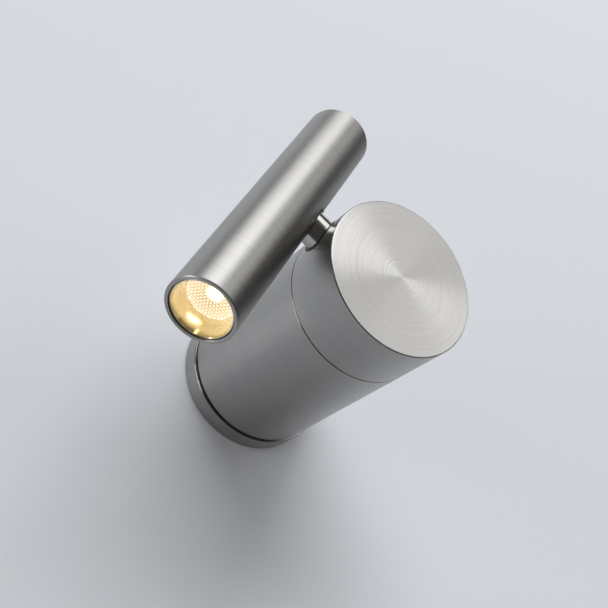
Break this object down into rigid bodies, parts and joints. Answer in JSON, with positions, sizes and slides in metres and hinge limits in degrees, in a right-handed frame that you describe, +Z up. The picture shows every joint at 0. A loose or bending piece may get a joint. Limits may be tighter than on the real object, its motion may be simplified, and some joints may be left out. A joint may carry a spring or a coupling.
{
  "type": "tube wall light",
  "caption": "Wall spotlight: a round brushed body on a wall plate, a turning head, and a slim spot tube that swivels on a short stem.",
  "frame": {"origin": "on the wall, at the middle of the wall plate's back face, which is also the middle of its two screw slots", "axes": "-Y out of the wall along the axis of the round body, +X to the right of a person who faces the wall, +Z up"},
  "size_m": [0.1174, 0.1154, 0.1144],
  "materials": {
    "satin_steel": "satin brushed round the axis",
    "stem_steel": "fine turned, nearly polished",
    "black_anodised": "black anodised",
    "black_bush": "moulded, matt",
    "zinc_steel": "zinc plated",
    "spring_steel": "spring steel, oiled",
    "brass": "turned",
    "cast_aluminium": "machined",
    "black_rubber": "moulded",
    "fibre_washer": "pressed fibre",
    "white_plastic": "moulded, fine grain",
    "black_strap": "moulded nylon",
    "lead_sheath": "extruded, smooth",
    "bezel_metal": "satin turned cone",
    "clear_lens": "clear moulded acrylic",
    "silicone": "moulded silicone",
    "board_white": "white solder mask",
    "led_phosphor": "clear dome over yellow phosphor"
  },
  "bodies": {
    "wall_body": {"wall_plate": "satin_steel", "cable_grommet": "black_rubber", "spigot_ring": "black_anodised", "plate_screws": "zinc_steel", "terminal_block": "white_plastic", "terminal_screws": "zinc_steel", "terminal_fixing": "zinc_steel", "earth_tag": "brass", "earth_screw": "zinc_steel", "body_tube": "satin_steel", "grub_screws": "zinc_steel", "front_bulkhead": "cast_aluminium", "swivel_bush": "brass", "friction_washer": "fibre_washer", "stop_pin": "zinc_steel", "driver_pillars": "brass", "driver_tray": "zinc_steel", "tray_screws": "zinc_steel", "driver_module": "white_plastic", "driver_strap": "black_strap", "mains_leads": "lead_sheath", "driver_lead": "lead_sheath"},
    "head": {"head_cup": "satin_steel", "head_back_plate": "zinc_steel", "head_screws": "zinc_steel", "swivel_nipple": "brass", "nipple_nut": "zinc_steel", "stop_washer": "zinc_steel", "swivel_spring": "spring_steel", "swivel_locknut": "zinc_steel", "stem_anchor": "cast_aluminium", "anchor_screws": "zinc_steel", "stem": "stem_steel", "stem_nut": "zinc_steel", "head_stem_bush": "black_bush", "head_lead": "lead_sheath", "pivot_spring": "spring_steel", "pivot_clip": "spring_steel"},
    "spot": {"spot_tube": "satin_steel", "spot_stem_bush": "black_bush", "pivot_block": "cast_aluminium", "pivot_washer": "fibre_washer", "rear_cap": "satin_steel", "cap_ring": "black_rubber", "lens_bezel": "bezel_metal", "lens": "clear_lens", "lens_seal": "silicone", "led_holder": "white_plastic", "led_board": "board_white", "led_chip": "led_phosphor", "thermal_pad": "silicone", "heat_sink": "cast_aluminium", "led_screws": "zinc_steel", "spot_lead": "lead_sheath"}
  },
  "joints": [
    {"name": "head_turn", "type": "hinge", "parent": "wall_body", "child": "head", "pos_m": [0, -0.092, 0], "axis": [0, -1, 0], "range_deg": [-165, 165]},
    {"name": "spot_swivel", "type": "hinge", "parent": "head", "child": "spot", "pos_m": [-0.03913, -0.092, 0.02512], "axis": [-0.8415, 0, 0.5402], "range_deg": [-165, 165]}
  ]
}
